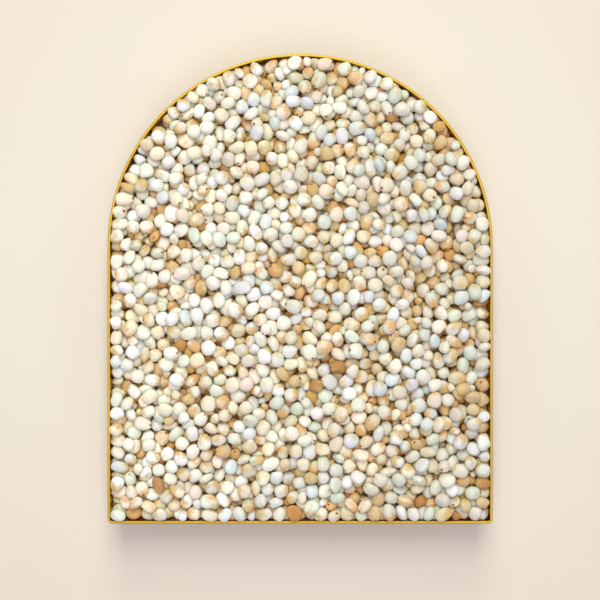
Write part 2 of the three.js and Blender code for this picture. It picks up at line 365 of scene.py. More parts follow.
def turned(turns, by):
    """Rotation matrices, each turned further by its own rotation vector."""
    angle = np.linalg.norm(by, axis=1)
    axes = turns.transpose(0, 2, 1)
    about = np.broadcast_to(unit(by)[:, None, :], axes.shape)
    sine, cosine = np.sin(angle)[:, None, None], np.cos(angle)[:, None, None]
    kept = (about * axes).sum(2, keepdims=True) * about
    return (axes * cosine + np.cross(about, axes) * sine + kept * (1 - cosine)).transpose(0, 2, 1)


def random_turns(count, lean, rng):
    """Grains turned by any angle about the upright, and then leant to any side."""
    yaw, side = rng.uniform(0, 2 * np.pi, (2, count))
    still = np.zeros(count)
    lying = turned(np.tile(np.eye(3), (count, 1, 1)), np.stack([still, still, yaw], 1))
    about = np.stack([np.cos(side), np.sin(side), still], 1)
    return turned(lying, about * rng.normal(0, lean, count)[:, None])


def evenly_spaced(loop, gap, start):
    """Points along a closed line, about one gap apart. The first is a share of the gap along it."""
    closed = np.concatenate([loop, loop[:1]])
    run = np.concatenate([[0], np.cumsum(np.linalg.norm(np.diff(closed, axis=0), axis=1))])
    count = int(run[-1] / gap)
    at = (np.arange(count) + start) * run[-1] / count
    return np.stack([np.interp(at, run, part) for part in closed.T])


def poured_places(heap, count, rng):
    """Places for count grains, in loose layers over the core, each with chance in it.

    In each layer one row lies along the wall.
    """
    arch, millet = heap.arch, heap.millet
    mean_size = (millet.grain_length + millet.grain_width) / 2
    pitch = PITCH * mean_size
    row_inset = heap.dish.sheet + mean_size / 2
    wall_line = arch.ring(row_inset, 0, DISH_STEP)
    row_gap = pitch * math.sqrt(3) / 2
    layer_gap = LAYER_GAP * millet.grain_thickness
    columns = np.arange(-math.ceil(arch.radius / pitch), math.ceil(arch.radius / pitch) + 1)
    rows = np.arange(math.ceil((DISH_HIGH.y - DISH_LOW.y) / row_gap) + 1)
    column, row = np.meshgrid(columns, rows)
    layers = []
    while sum(map(len, layers)) < count:
        shift_x, shift_y = rng.uniform(-0.5, 0.5, 2)
        chance = rng.uniform(-1, 1, (3, column.size))
        x = (column + (row % 2) / 2 + shift_x).ravel() * pitch + chance[0] * PLACE_DRAW * pitch
        y = arch.end_y + (row + shift_y).ravel() * row_gap + chance[1] * PLACE_DRAW * pitch
        inside = arch.depth(x, y) > row_inset + mean_size / 2
        along_wall = evenly_spaced(wall_line, WALL_PITCH * mean_size, rng.uniform())
        x, y = np.concatenate([[x[inside], y[inside]], along_wall], 1)
        lift = np.concatenate([chance[2][inside], rng.uniform(-1, 1, along_wall.shape[1])])
        height = millet.grain_thickness / 2 + len(layers) * layer_gap
        z = heap.core_top(x, y) + height + lift * LIFT_DRAW * millet.grain_thickness
        layers.append(np.stack([x, y, z], 1))
    spare = sum(map(len, layers)) - count
    chance = rng.uniform(0, 1, len(layers[-1])) + PATCHES * ripples(*layers[-1][:, :2].T)
    layers[-1] = layers[-1][np.argsort(chance)[spare:]]
    return np.concatenate(layers)


def close_pairs(places, reach):
    """The pairs of grains whose middles lie within reach of each other."""
    found = []
    for start in range(0, len(places), PAIR_BATCH):
        batch = places[start : start + PAIR_BATCH]
        apart = batch[:, None, :] - places[None, start:, :]
        first, second = np.nonzero((apart * apart).sum(2) < reach * reach)
        later = second > first
        found.append(np.stack([first[later], second[later]]) + start)
    return np.concatenate(found, 1)


def touching(places, turns, halves, pairs):
    """The pairs that overlap: the normal, how deep, and the way from middle to touching point.

    Two ellipsoids with spreads A and B, their middles d apart, touch about where
    d (A + B)^-1 d = 2, and (A + B)^-1 d is square to both there.
    """
    spread = np.einsum("nij,nj,nkj->nik", turns, halves**2, turns)
    first, second = pairs
    apart = places[second] - places[first]
    near = dots(apart, apart) < (halves[first, 0] + halves[second, 0]) ** 2
    first, second, apart = first[near], second[near], apart[near]
    across = np.linalg.solve(spread[first] + spread[second], apart[..., None])[..., 0]
    closeness = dots(apart, across) / 2
    hit = closeness < 1
    first, second, apart, across = first[hit], second[hit], apart[hit], across[hit]
    normal = unit(across)
    overlap = dots(apart, normal) * (1 / np.sqrt(closeness[hit]) - 1)
    arms = [
        sign * np.einsum("nij,nj->ni", spread[grain], across)
        for grain, sign in ((first, 1), (second, -1))
    ]
    return first, second, normal, overlap, arms


def pushed_apart(places, turns, halves, pairs):
    """Moves and turns grains out of each other, each by its share. Returns places and turns."""
    count = len(places)
    first, second, normal, overlap, arms = touching(places, turns, halves, pairs)
    # How readily a solid ellipsoid turns about each axis, if it moves with a readiness of 1.
    squares = halves**2
    ease = 5 / (squares.sum(1, keepdims=True) - squares)
    spins, give = [], np.full(len(first), 2.0)
    for grain, arm in ((first, arms[0]), (second, arms[1])):
        twist = np.cross(arm, normal)
        local = np.einsum("nji,nj->ni", turns[grain], twist) * ease[grain]
        spins.append(np.einsum("nij,nj->ni", turns[grain], local))
        give += dots(spins[-1], twist)
    share = (overlap / give)[:, None]
    touches = np.bincount(first, minlength=count) + np.bincount(second, minlength=count)
    calm = CALM_TOUCHES / np.maximum(touches, CALM_TOUCHES)[:, None]
    move = summed(second, share * normal, count) - summed(first, share * normal, count)
    spin = summed(second, share * spins[1], count) - summed(first, share * spins[0], count)
    return places + move * calm, turned(turns, spin * calm)


def reach_along(turns, halves, way):
    """How far each grain reaches from its middle in a direction."""
    return np.linalg.norm(np.einsum("nij,ni->nj", turns, way) * halves, axis=1)


def kept_in(places, turns, halves, upright, heap):
    """Moves grains off the dish's wall, off its straight end and off the core."""
    x, y = places[:, 0], places[:, 1]
    inset = heap.wall_inset(places[:, 2])
    for way, depth in zip(heap.arch.ways_in(x, y), heap.arch.depths_in(x, y)):
        over = reach_along(turns, halves, way) + inset - depth
        places = places + way * np.maximum(over, 0)[:, None]
    above = (places[:, 2] - heap.core_top(places[:, 0], places[:, 1])) * upright[:, 2]
    over = reach_along(turns, halves, upright) - above
    return places + upright * np.maximum(over, 0)[:, None]


def slumped(places, arch):
    """The pull that presses grains near the wall against it, as a share of how far they sink."""
    x, y = places[:, 0], places[:, 1]
    pull = 0
    for way, depth in zip(arch.ways_in(x, y), arch.depths_in(x, y)):
        pull = pull + way * np.clip(1 - depth / SLUMP_REACH, 0, 1)[:, None] * SLUMP
    return pull


def settled_grains(heap, rng):
    """Pours grains over the core and lets them sink and turn until they lie in each other's gaps.

    Returns each grain's place, its rotation matrix and its three half sizes.
    """
    arch, millet = heap.arch, heap.millet
    mean = np.array([millet.grain_length, millet.grain_width, millet.grain_thickness]) / 2
    floor_area = math.pi * arch.radius**2 / 2 + 2 * arch.radius * (arch.centre_y - arch.end_y)
    grain_volume = 4 / 3 * math.pi * mean.prod()
    count = int(floor_area * millet.loose_depth * millet.packing / grain_volume)
    draws = np.clip(rng.normal(1, millet.size_spread, (count, 3)), *SIZE_LIMITS)
    is_small = rng.uniform(0, 1, count) < millet.small_share
    draws *= np.where(is_small, rng.uniform(*SMALL_SIZES, count), 1)[:, None]
    halves = -np.sort(-mean * draws, axis=1)
    places = poured_places(heap, count, rng)
    turns = random_turns(count, millet.lean, rng)
    for step in range(SINK_STEPS):
        if step % PAIR_AGE == 0:
            pairs = close_pairs(places, halves.max() * PAIR_REACH)
        upright = heap.upright(places[:, 0], places[:, 1])
        sink = SINK if step < SINK_STEPS - CALM_STEPS else CALM_SINK
        places = places - [0, 0, sink] - slumped(places, arch) * sink
        for _ in range(SWEEPS):
            places, turns = pushed_apart(places, turns, halves, pairs)
            places = kept_in(places, turns, halves, upright, heap)
    up = np.tile([0.0, 0.0, 1.0], (count, 1))
    low = places[:, 2] + reach_along(turns, halves, up) < MILLET_HIGH.z
    return places[low], turns[low], halves[low]


SIZE_LIMITS = (0.82, 1.2)  # the least and the greatest size, as a share of the mean one
SMALL_SIZES = (0.6, 0.85)  # how much of its size a small grain has
PITCH = 0.93  # from grain to grain in a layer, as a share of a grain
WALL_PITCH = 0.94  # and along the wall
LAYER_GAP = 1.08  # from layer to layer, as a share of a grain's thickness
PLACE_DRAW = 0.55  # how far a grain is poured off its even place, as a share of the pitch
LIFT_DRAW = 0.3  # and off its layer's height, as a share of its thickness
PATCHES = 0.7  # how much the last layer lies in patches
PAIR_BATCH = 512  # grains whose neighbours are looked for at once
PAIR_REACH = 2.3  # how far apart pairs are watched, in half lengths of the longest grain
PAIR_AGE = 10  # steps for which the same pairs are watched
CALM_TOUCHES = 1.5  # a grain with more touches than this gives way to each by a share
SINK_STEPS = 80
CALM_STEPS = 16  # the last of them, in which overlaps are only eased
SINK = 0.03 * MM  # how far the grains sink in each step
CALM_SINK = 0.005 * MM
SWEEPS = 3
SLUMP = 0.8  # how hard grains at the wall are pressed against it
SLUMP_REACH = 4 * MM  # and how far in from the wall that is felt


# ---- the grains' meshes


def ball(frequency):
    """Points and triangles of a unit ball: an icosahedron with each edge split frequency times."""
    seed = bmesh.new()
    bmesh.ops.create_icosphere(seed, subdivisions=1, radius=1)
    corners = np.array([v.co for v in seed.verts])
    faces = [[v.index for v in face.verts] for face in seed.faces]
    seed.free()
    points, number, triangles = [], {}, []

    def at(face, i, j):
        weights = np.array([frequency - i - j, i, j])
        point = weights @ corners[face]
        point = point / np.linalg.norm(point)
        key = tuple(np.round(point, 5) + 0.0)
        if key not in number:
            number[key] = len(points)
            points.append(point)
        return number[key]

    for face in faces:
        for i in range(frequency):
            for j in range(frequency - i):
                here, ahead, aside = at(face, i, j), at(face, i + 1, j), at(face, i, j + 1)
                triangles.append([here, ahead, aside])
                if i + j < frequency - 1:
                    triangles.append([ahead, at(face, i + 1, j + 1), aside])
    return np.array(points), np.array(triangles)


def halves_map(points, triangles):
    """Lays the upper and the lower half of a unit ball out flat.

    Returns where each corner of each triangle comes, with the half's edge about 1 from its
    middle, and which half it is on: 0 above, 1 below.
    """
    x, y, z = points[triangles].transpose(2, 0, 1)
    is_low = z.mean(1) < 0
    side = np.where(is_low, -1, 1)[:, None]
    away = np.arccos(np.clip(z * side, -1, 1)) / (math.pi / 2)
    stretch = away / np.maximum(np.hypot(x, y), TINY)
    flat = np.stack([x * side * stretch, y * stretch], 2)
    return flat.reshape(-1, 2), np.repeat(is_low.astype(int), 3)


def grain_forms(points, count, rng):
    """A unit ball made into count unlike grains, each about one unit in half length.

    A grain is blunt at one end and narrower at the other, where it has the dent of the germ.
    It is full above and flatter below, and no two are bent or lumpy alike.
    """
    x, y, z = (np.tile(part, (count, 1)) for part in points.T)
    full = (np.abs(points) ** FULLNESS).sum(1) ** (-1 / FULLNESS)
    taper, bend, flat, dent = (rng.uniform(0, 1, (count, 1)) for _ in range(4))
    length = x * full
    narrow = 1 - (TAPER[0] + TAPER[1] * taper) * x
    width = y * full * narrow
    height = z * full * narrow * np.where(z < 0, UNDERSIDE[0] + UNDERSIDE[1] * flat, 1)
    off_germ = ((x - GERM_PLACE) / GERM_LENGTH) ** 2 + (y / GERM_WIDTH) ** 2
    height = height - np.exp(-off_germ) * (z > 0) * (DENT[0] + DENT[1] * dent)
    width = width + (bend - 0.5) * BEND * (x**2 - STRAIGHT_PLACE)
    swell = np.ones_like(x)
    for _ in range(SWELLS):
        way = rng.normal(0, SWELL_STEEPNESS, (count, 3))
        phase = rng.uniform(0, 2 * math.pi, (count, 1))
        swell += SWELL_HEIGHT * np.sin(way @ points.T + phase)
    forms = np.stack([length, width, height], 2) * swell[..., None]
    for _ in range(FACETS):
        way = unit(rng.normal(0, 1, (count, 3)))
        limit = rng.uniform(*FACET_LIMITS, (count, 1))
        over = np.maximum(np.einsum("nvi,ni->nv", forms, way) - limit, 0)
        forms -= FACET_SHARE * over[..., None] * way[:, None, :]
    return forms


# A grain's form, in its own half lengths.
FULLNESS = 2.25  # 2 gives an ellipsoid, and more a fuller grain
# The least of each of these three, and what a grain's draw adds.
TAPER = (0.04, 0.12)  # how much narrower it gets towards its germ end
UNDERSIDE = (0.78, 0.2)  # how full it is below, as a share of above
DENT = (0.06, 0.14)  # how deep the germ lies
GERM_PLACE, GERM_LENGTH, GERM_WIDTH = 0.66, 0.3, 0.34
BEND = 0.12  # how far its ends can be bent from side to side
STRAIGHT_PLACE = 0.4  # where a bent grain crosses its own middle line, squared
SWELLS = 3  # the low waves that cross on it
SWELL_HEIGHT, SWELL_STEEPNESS = 0.016, 1.5
FACETS = 4  # the flattened places on it
FACET_LIMITS = (0.74, 0.98)  # the least and the most that they lie from its middle
FACET_SHARE = 0.75  # how much of what stands over them is gone

FINE_FREQUENCY = 4  # of the grains that show
COARSE_FREQUENCY = 2  # of the grains under them
SHOWN_DEPTH = 2.5 * MM  # from the heap's surface down to the lowest middle of a grain that shows


def joined_grains(name, parts, heap):
    """One mesh of many grains, with what the skin's pattern needs kept on its points.

    That is the place on the unit grain, the grain's draws, and how many millimetres the point
    lies below the heap's mean surface.
    """
    points = np.concatenate([p.points for p in parts])
    offsets = np.cumsum([0] + [len(p.points) for p in parts[:-1]])
    faces = np.concatenate([p.faces + offset for p, offset in zip(parts, offsets)])
    data = bpy.data.meshes.new(name)
    data.from_pydata(points, [], faces)
    data.polygons.foreach_set("use_smooth", np.ones(len(faces), bool))
    for key in ("grain_place", "grain_draw"):
        values = np.concatenate([getattr(p, key) for p in parts])
        attribute = data.attributes.new(key, "FLOAT_VECTOR", "POINT")
        attribute.data.foreach_set("vector", values.astype(np.float32).ravel())
    sunk = (heap.level(*points[:, :2].T) - points[:, 2]) / MM
    attribute = data.attributes.new("sunk", "FLOAT", "POINT")
    attribute.data.foreach_set("value", sunk.astype(np.float32))
    add_map(data, parts)
    return data


def add_map(data, parts):
    """The map that a bake uses, a grid of square cells with half a grain in each."""
    counts = [p.cell.max(initial=-1) + 1 for p in parts]
    before = np.cumsum([0] + counts[:-1])
    cell = np.concatenate([p.cell + start for p, start in zip(parts, before)])
    side = math.ceil(math.sqrt(sum(counts)))
    middle = np.stack([cell % side, cell // side], 1) + 0.5
    flat = np.concatenate([p.flat for p in parts]) * MAP_FILL / 2
    places = ((middle + flat) / side).astype(np.float32)
    data.uv_layers.new(name="OFBake").uv.foreach_set("vector", places.ravel())


MAP_FILL = 0.7  # the share of its cell that half a grain spans, with room for what hangs over
GrainBatch = namedtuple("GrainBatch", "points faces grain_place grain_draw flat cell")


def grain_batch(frequency, places, turns, halves, draws, rng):
    """The meshes of many grains, one after the other."""
    points, triangles = ball(frequency)
    count = len(places)
    forms = grain_forms(points, count, rng) * halves[:, None, :]
    flips = np.array([[1, 1, 1], [1, -1, -1], [-1, -1, 1], [-1, 1, -1]])[rng.integers(0, 4, count)]
    world = np.einsum("nij,nvj->nvi", turns * flips[:, None, :], forms) + places[:, None, :]
    faces = triangles[None] + (np.arange(count) * len(points))[:, None, None]
    flat, half = halves_map(points, triangles)
    return GrainBatch(
        world.reshape(-1, 3),
        faces.reshape(-1, 3),
        np.tile(points, (count, 1)),
        np.repeat(draws, len(points), 0),
        np.tile(flat, (count, 1)),
        (half + 2 * np.arange(count)[:, None]).ravel(),
    )


# Each kind's share of the grains, how far the bran at its germ end reaches, from 0 to 1, how
# mottled it is, and how rough.
Kind = namedtuple("Kind", "name share bran_reach mottle roughness")
KINDS = (
    Kind("ivory", 0.31, 0.4, 0.25, 0.38),
    Kind("pearl", 0.26, 0.4, 0.25, 0.32),
    Kind("cream", 0.25, 0.5, 0.35, 0.42),
    Kind("straw", 0.13, 0.5, 0.5, 0.46),
    Kind("golden", 0.035, 0.6, 0.7, 0.5),
    Kind("amber", 0.015, 0.7, 0.8, 0.5),
)


def kinds_of(places, arch, rng):
    """The kind of each grain. The browner ones lie in drifts, and more of them towards +X, as
    painted shade on that side.
    """
    x, y = places[:, 0], places[:, 1]
    bent = np.sin(x / BENT_ACROSS + BENT_BY * np.sin(y / BENT_ALONG))
    drift = bent * np.cos(y / SLANT_ALONG - x / SLANT_ACROSS)
    side = x / (2 * arch.radius)
    score = rng.normal(0, SCORE_SPREAD, len(places)) + KIND_DRIFT * drift + SIDE_SHADE_KIND * side
    rank = np.argsort(np.argsort(score)) / len(places)
    limits = np.cumsum([kind.share for kind in KINDS])
    return np.minimum(np.searchsorted(limits, rank), len(KINDS) - 1)


def skin_draws(places, depth, heap, rng):
    """Each grain's draws for lightness, bran and tint, about from 0 to 1.

    Buried grains are painted darker and browner, with more bran, as painted shade between the
    grains. Light and dull grains lie in drifts, with more dull ones towards +X as painted shade on
    that side.
    """
    draws = rng.uniform(0, 1, (len(places), 3))
    buried = np.clip((depth - heap.millet.grain_thickness / 2) / SHOWN_DEPTH, 0, 1)
    # painted shade: buried grains are drawn darker and browner
    draws += buried[:, None] * BURIED_SHADE
    x, y = places[:, :2].T
    # drifts of light and dull grains, and painted shade that dulls them towards +X
    draws[:, 0] += TONE_DRIFT * ripples(y, x) - SIDE_SHADE_TONE * x / (2 * heap.arch.radius)
    return draws


SCORE_SPREAD = 0.3  # of the chance in a grain's kind
KIND_DRIFT = 0.08  # how much the brown kinds lie in drifts
SIDE_SHADE_KIND = 0.2  # and how much more of them there are towards +X, as painted shade on that side
BENT_ACROSS, BENT_ALONG, BENT_BY = 6.1 * MM, 7.3 * MM, 1.7  # of the drifts' bent waves
SLANT_ACROSS, SLANT_ALONG = 11 * MM, 5.2 * MM  # and of the slanting ones over them
BURIED_SHADE = (-0.2, 0.7, 0.2)  # painted shade: what being buried adds to lightness, bran and tint, so lower grains are darker and browner
TONE_DRIFT = 0.8  # how much light and dull grains lie in drifts
SIDE_SHADE_TONE = 1.5  # and how much duller they are towards +X, as painted shade on that side


# ---- materials


def set_inputs(tree, node, inputs):
    """Sets a node's inputs, or joins them to other nodes' outputs."""
    for name, value in inputs.items():
        if isinstance(value, bpy.types.NodeSocket):
            tree.links.new(value, node.inputs[name])
        else:
            node.inputs[name].default_value = value


def add(tree, kind, inputs=None, **settings):
    """A new node with its settings made and its inputs given."""
    made = tree.nodes.new(kind)
    for name, value in settings.items():
        setattr(made, name, value)
    set_inputs(tree, made, inputs or {})
    return made


def calculated(tree, operation, first, second=0.0, third=0.0):
    """The output of a maths node."""
    inputs = {0: first, 1: second, 2: third}
    return add(tree, "ShaderNodeMath", inputs, operation=operation).outputs[0]


def weighted(tree, start, *terms):
    """A start and then values, each times its weight, all added up."""
    for value, weight in terms:
        start = calculated(tree, "MULTIPLY_ADD", value, weight, start)
    return start


def ramped(tree, value, start, stop, low=0.0, high=1.0):
    """A value eased from low to high while the first goes from start to stop."""
    inputs = {"Value": value, "From Min": start, "From Max": stop, "To Min": low, "To Max": high}
    return add(tree, "ShaderNodeMapRange", inputs, interpolation_type="SMOOTHSTEP").outputs[0]


def blended(tree, share, first, second, kind="MIX"):
    """Two colours mixed by a share."""
    inputs = {0: share, 6: first, 7: second}
    return add(tree, "ShaderNodeMix", inputs, data_type="RGBA", blend_type=kind).outputs[2]


def multiplied(tree, first, second):
    """A colour times another, or times a value."""
    return blended(tree, 1.0, first, second, "MULTIPLY")


def rgba(colour):
    return (*colour, 1.0)


def new_group(name, inputs, outputs):
    """An empty node group with named sockets, and its input and output nodes."""
    group = bpy.data.node_groups.new(name, "ShaderNodeTree")
    for side, sockets in (("INPUT", inputs), ("OUTPUT", outputs)):
        for socket, kind in sockets.items():
            group.interface.new_socket(socket, in_out=side, socket_type=kind)
    return group, group.nodes.new("NodeGroupInput").outputs, group.nodes.new("NodeGroupOutput")


def kept_on_points(tree, name):
    """What the mesh keeps on its points under a name, as a node's outputs."""
    return add(tree, "ShaderNodeAttribute", attribute_name=name).outputs


def split(tree, vector):
    """A vector's three parts."""
    return add(tree, "ShaderNodeSeparateXYZ", {0: vector}).outputs


def noise(tree, place, scale, detail=2.0, roughness=0.5, shift=None):
    """Noise. A shift moves it in a fourth dimension, so that each grain has its own pattern."""
    inputs = {"Vector": place, "Scale": scale, "Detail": detail, "Roughness": roughness}
    dimensions = "3D"
    if shift is not None:
        inputs["W"] = shift
        dimensions = "4D"
    return add(tree, "ShaderNodeTexNoise", inputs, noise_dimensions=dimensions).outputs["Fac"]


def bumped(tree, height, strength, distance, invert=False):
    """The normal of a surface with a bump."""
    inputs = {"Height": height, "Strength": strength, "Distance": distance}
    return add(tree, "ShaderNodeBump", inputs, invert=invert).outputs[0]


def grain_skin_group():
    """The skin of a hulled grain: its body, mealy mottling, bran at the germ end, hilum, and
    painted shade deeper between the grains.

    The pattern sits in the grain's own space, where x runs from -1 to 1 at the germ end.
    """
    group, given, result = new_group(
        "Grain skin",
        {
            "Body": COLOUR,
            "Bran": COLOUR,
            "Hilum": COLOUR,
            "Bran Reach": NUMBER,
            "Mottle": NUMBER,
            "Roughness": NUMBER,
        },
        {"Colour": COLOUR, "Roughness": NUMBER, "Height": NUMBER},
    )
    place = kept_on_points(group, "grain_place")["Vector"]
    along = split(group, place)[0]
    tone, patch, hue = split(group, kept_on_points(group, "grain_draw")["Vector"])
    shift = calculated(group, "MULTIPLY", tone, PATTERN_SHIFT)
    broad = noise(group, place, BROAD_SCALE, detail=1.0, shift=shift)
    middling = noise(group, place, MIDDLING_SCALE, detail=3.0, roughness=0.6, shift=shift)
    fine = noise(group, place, FINE_SCALE, roughness=0.6, shift=shift)

    # Lighter and darker grains, partly at random and partly from the painted shade in their draws,
    # each with its own faint tint, and mealy mottling.
    body = multiplied(group, given["Body"], ramped(group, tone, *LIGHTNESS))
    tint = add(group, "ShaderNodeValToRGB", {0: hue})
    stops = tint.color_ramp.elements
    for step in np.linspace(0, 1, len(TINTS))[1:-1]:
        stops.new(step)
    for stop, code in zip(stops, TINTS):
        stop.color = rgba(linear(code))
    tinted = multiplied(group, body, tint.outputs[0])
    mealy = calculated(group, "MULTIPLY", ramped(group, middling, *MEALY), given["Mottle"])
    mottled = blended(group, mealy, tinted, multiplied(group, tinted, rgba(linear(MEALY_TINT))))

    # Bran in uneven patches, mostly at the germ end, and more of it on some grains than on others.
    own_reach = calculated(group, "POWER", patch, 2.0)
    reach = calculated(group, "MULTIPLY", own_reach, given["Bran Reach"])
    cover = weighted(group, 0.0, (broad, 1.5), (middling, 0.7), (along, 0.4), (reach, 1.5))
    bran = ramped(group, cover, *BRAN_COVER)
    yellow_bran = multiplied(group, given["Bran"], rgba(BRAN_TINT))
    own_bran = blended(group, ramped(group, hue, *TAN_BRAN), yellow_bran, given["Bran"])
    rusty_bran = multiplied(group, own_bran, rgba(THICK_TINT))
    any_bran = blended(group, ramped(group, cover, *THICK_COVER), own_bran, rusty_bran)
    with_bran = blended(group, bran, mottled, any_bran)

    # The hilum, a small dark spot by the germ, clear on some grains and faint on others.
    off = add(group, "ShaderNodeVectorMath", {0: place, 1: HILUM_PLACE}, operation="DISTANCE")
    off = weighted(group, calculated(group, "POWER", off.outputs["Value"], 2.0), (middling, 0.04))
    spot = ramped(group, off, *HILUM_EDGE)
    spot = calculated(group, "MULTIPLY", spot, ramped(group, hue, *CLEAR_HILUM))
    spotted = blended(group, spot, with_bran, given["Hilum"])

    # Painted shade, which darkens and warms the colour the further down between the grains a point
    # lies.
    painted_shade = ramped(group, kept_on_points(group, "sunk")["Fac"], *PAINTED_SHADE_DEPTHS)
    shaded = blended(group, painted_shade, spotted, multiplied(group, spotted, rgba(PAINTED_SHADE_TINT)))

    rough = weighted(group, given["Roughness"], (fine, 0.16), (bran, 0.12))
    relief = weighted(group, middling, (fine, 0.35), (spot, -0.8))
    set_inputs(group, result, {"Colour": shaded, "Roughness": rough, "Height": relief})
    return group


COLOUR, NUMBER = "NodeSocketColor", "NodeSocketFloat"
PATTERN_SHIFT = 83.0  # sets the grains' patterns far apart
BROAD_SCALE, MIDDLING_SCALE, FINE_SCALE = 1.1, 3.2, 11.0  # patches in a grain's half length
# For each ramp, from which value to which it runs, and what it gives there.
LIGHTNESS = (-0.5, 1.5, 0.77, 0.97)
MEALY = (0.4, 0.75, 0.0, 1.0)
BRAN_COVER = (1.35, 1.95, 0.0, 0.85)
THICK_COVER = (1.65, 2.25, 0.0, 0.8)
HILUM_EDGE = (0.03, 0.11, 1.0, 0.0)
PAINTED_SHADE_DEPTHS = (0.4, 2.8, 0.0, 1.0)  # of the painted shade between the grains, in mm below the heap's mean surface
# And by a grain's draw for its tint, whether its bran is tan and its hilum clear.
TAN_BRAN = (0.2, 0.8, 0.0, 1.0)
CLEAR_HILUM = (0.25, 0.7, 0.0, 1.0)
HILUM_PLACE = (0.86, 0.0, 0.42)  # in the grain's own space
# From cool and faintly blue through white and yellow-green to a warm tint.
TINTS = ("e9f0f3", "fcfdfa", "f4f8e6", "fbf8e8", "f9f1e2")
MEALY_TINT = "e9dbc2"
BRAN_TINT = (0.92, 1.06, 0.9)  # makes bran yellow where it isn't tan
THICK_TINT = (0.98, 0.76, 0.46)  # makes bran rusty where it lies thick
PAINTED_SHADE_TINT = (1.0, 0.9, 0.66)  # of the painted shade deepest between the grains


def new_material(name):
    """A material with its tree and its Principled shader."""
    material = bpy.data.materials.new(name)
    material.use_nodes = True
    return material, material.node_tree, material.node_tree.nodes["Principled BSDF"]


def share_of(colour, share):
    """A share of a colour, or of each of its parts."""
    return rgba(np.multiply(colour, share))


def grain_material(kind, colours, group):
    """The skin of one kind of grain. It lets a little light in, and more of the red."""
    material, tree, shader = new_material(f"millet {kind.name}")
    inputs = {
        "Body": rgba(getattr(colours, kind.name)),
        "Bran": rgba(colours.bran),
        "Hilum": rgba(colours.hilum),
        "Bran Reach": kind.bran_reach,
        "Mottle": kind.mottle,
        "Roughness": kind.roughness,
    }
    skin = add(tree, "ShaderNodeGroup", inputs, node_tree=group).outputs
    finish = {
        "Base Color": skin["Colour"],
        "Roughness": skin["Roughness"],
        "Normal": bumped(tree, skin["Height"], strength=0.35, distance=0.05 * MM),
        "Specular IOR Level": 0.4,
        "Subsurface Weight": 0.55,
        "Subsurface Radius": (1.0, 0.75, 0.45),
        "Subsurface Scale": 0.7 * MM,
    }
    set_inputs(tree, shader, finish)
    return material


def core_material(settings):
    """The millet far down between the grains, coloured dim and bran-brown as painted shade, with
    painted shade in the gaps between its cells.
    """
    material, tree, shader = new_material("millet depths")
    place = add(tree, "ShaderNodeTexCoord").outputs["Object"]
    cells = add(tree, "ShaderNodeTexVoronoi", {"Vector": place, "Scale": CORE_CELLS})
    gap = ramped(tree, cells.outputs["Distance"], 0.1, 0.7)
    # painted shade: darker in the gaps between the cells
    colour = blended(tree, gap, rgba(settings.depths), share_of(settings.depths, GAP_SHADE))
    normal = bumped(tree, gap, strength=1.0, distance=0.5 * MM, invert=True)
    set_inputs(tree, shader, {"Base Color": colour, "Roughness": 0.9, "Normal": normal})
    return material


CORE_CELLS = 1 / (2.2 * MM)  # in a metre, so each is about a grain
GAP_SHADE = 0.5  # painted shade in the gaps between them


def metal_material(settings):
    """Satin gold-coloured metal: fine drawn lines, faint clouding, and a rim rubbed bright."""
    material, tree, shader = new_material("gold-coloured metal")
    place = add(tree, "ShaderNodeTexCoord").outputs["Object"]
    drawn = add(tree, "ShaderNodeMapping", {"Vector": place, "Scale": DRAWN_LINES}).outputs[0]
    lines = noise(tree, drawn, 1.0, detail=4.0)
    clouds = noise(tree, place, METAL_CLOUDS, detail=3.0)
    height = split(tree, place)["Z"]
    rim = ramped(tree, height, DISH_HIGH.z - settings.sheet, DISH_HIGH.z - settings.sheet / 4)
    dull = share_of(settings.metal, METAL_DULL)
    clouded = blended(tree, ramped(tree, clouds, 0.35, 0.7), rgba(settings.metal), dull)
    finish = {
        "Base Color": blended(tree, rim, clouded, rgba(settings.worn)),
        "Metallic": 1.0,
        "Roughness": weighted(tree, 0.1, (lines, 0.2), (clouds, 0.08), (rim, 0.28)),
        "Normal": bumped(tree, lines, strength=0.3, distance=0.02 * MM),
    }
    set_inputs(tree, shader, finish)
    return material


DRAWN_LINES = (70, 70, 9000)  # patches in a metre along X, Y and Z: lines that run round
METAL_CLOUDS = 140.0  # in a metre
METAL_DULL = 0.93


def floor_material(settings):
    """A plain pale floor with the least unevenness, and painted shade that darkens it away from the
    dish as light falling off.
    """
    material, tree, shader = new_material("pale floor")
    place = add(tree, "ShaderNodeTexCoord").outputs["Object"]
    dull = share_of(settings.floor, FLOOR_DULL)
    clouded = blended(tree, noise(tree, place, FLOOR_CLOUDS), rgba(settings.floor), dull)
    away = add(tree, "ShaderNodeVectorMath", {0: place}, operation="LENGTH").outputs["Value"]
    falloff_colour = share_of(settings.floor, PAINTED_FALLOFF)
    # painted shade: the floor darker away from the dish
    colour = blended(tree, ramped(tree, away, *FALLOFF_REACH), clouded, falloff_colour)
    set_inputs(tree, shader, {"Base Color": colour, "Roughness": 0.9, "Specular IOR Level": 0.1})
    return material


FLOOR_CLOUDS = 30.0  # in a metre
FLOOR_DULL = 0.985
FALLOFF_REACH = (42 * MM, 66 * MM)  # how far from the dish's middle the floor fades in painted shade
PAINTED_FALLOFF = (0.95, 0.93, 0.91)  # how much of its red, green and blue the painted shade leaves there


# ---- operators


def the_arch():
    """The dish's outline, as the CAD model has it."""
    return Arch(DISH_LOW, DISH_HIGH)


class DISH_OT_shell(bpy.types.Operator):
    """Adds the pressed metal dish"""

    bl_idname = "millet_dish.shell"
    bl_label = "Metal dish"
    bl_options = {"REGISTER", "UNDO"}

    def execute(self, context):
        settings = context.scene.dish_settings
        data = dish_mesh(settings, the_arch())
        placed("dish_shell", data, metal_material(settings), "dish", "dish")
        return {"FINISHED"}


